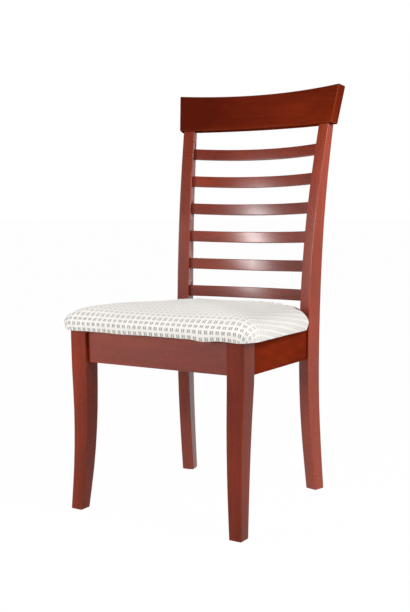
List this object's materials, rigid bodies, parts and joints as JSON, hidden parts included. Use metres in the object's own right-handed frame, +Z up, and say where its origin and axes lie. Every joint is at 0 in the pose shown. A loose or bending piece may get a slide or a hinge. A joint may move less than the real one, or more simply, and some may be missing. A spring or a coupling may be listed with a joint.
{
  "type": "wooden dining chair",
  "caption": "Dining chair in cherry-stained wood with sabre legs, a raked back of bowed slats under a flared crest rail, and a padded seat in checked woven fabric.",
  "frame": {"origin": "on the floor, under the middle of the chair's bounding box", "axes": "+Z up; the chair faces -Y; +X to the right of someone who looks at the chair from the front"},
  "size_m": [0.5112, 0.5293, 0.9796],
  "materials": {
    "cherry_lacquer": "satin mahogany-coloured lacquer",
    "beech": "raw, sanded",
    "plywood": "raw board",
    "woven_fabric": "matte check weave, cream with grey-brown dashes",
    "foam": "open-cell foam, sealed inside the cover",
    "dust_cloth": "matte nonwoven",
    "zinc": "zinc plated",
    "nylon": "moulded, dark brown"
  },
  "bodies": {
    "root": {"front_leg_left": "cherry_lacquer", "back_post_left": "cherry_lacquer", "side_apron_left": "cherry_lacquer", "front_leg_right": "cherry_lacquer", "back_post_right": "cherry_lacquer", "side_apron_right": "cherry_lacquer", "front_apron": "cherry_lacquer", "rear_apron": "cherry_lacquer", "crest_rail": "cherry_lacquer", "slat_1": "cherry_lacquer", "slat_2": "cherry_lacquer", "slat_3": "cherry_lacquer", "slat_4": "cherry_lacquer", "slat_5": "cherry_lacquer", "slat_6": "cherry_lacquer", "seat_cover": "woven_fabric", "seat_foam": "foam", "seat_board": "plywood", "dust_cover": "dust_cloth", "corner_block_front_left": "beech", "glide_front_left": "nylon", "corner_block_front_right": "beech", "glide_front_right": "nylon", "corner_block_rear_left": "beech", "glide_rear_left": "nylon", "corner_block_rear_right": "beech", "glide_rear_right": "nylon", "block_screw_1": "zinc", "block_screw_2": "zinc", "block_screw_3": "zinc", "block_screw_4": "zinc", "block_screw_5": "zinc", "block_screw_6": "zinc", "block_screw_7": "zinc", "block_screw_8": "zinc", "seat_screw_1": "zinc", "seat_screw_2": "zinc", "seat_screw_3": "zinc", "seat_screw_4": "zinc", "crest_dowel_1": "beech", "crest_dowel_2": "beech", "crest_dowel_3": "beech", "crest_dowel_4": "beech", "apron_dowel_1": "beech", "apron_dowel_2": "beech", "apron_dowel_3": "beech", "apron_dowel_4": "beech", "apron_dowel_5": "beech", "apron_dowel_6": "beech", "apron_dowel_7": "beech", "apron_dowel_8": "beech", "apron_dowel_9": "beech", "apron_dowel_10": "beech", "apron_dowel_11": "beech", "apron_dowel_12": "beech", "apron_dowel_13": "beech", "apron_dowel_14": "beech", "apron_dowel_15": "beech", "apron_dowel_16": "beech"}
  },
  "joints": []
}
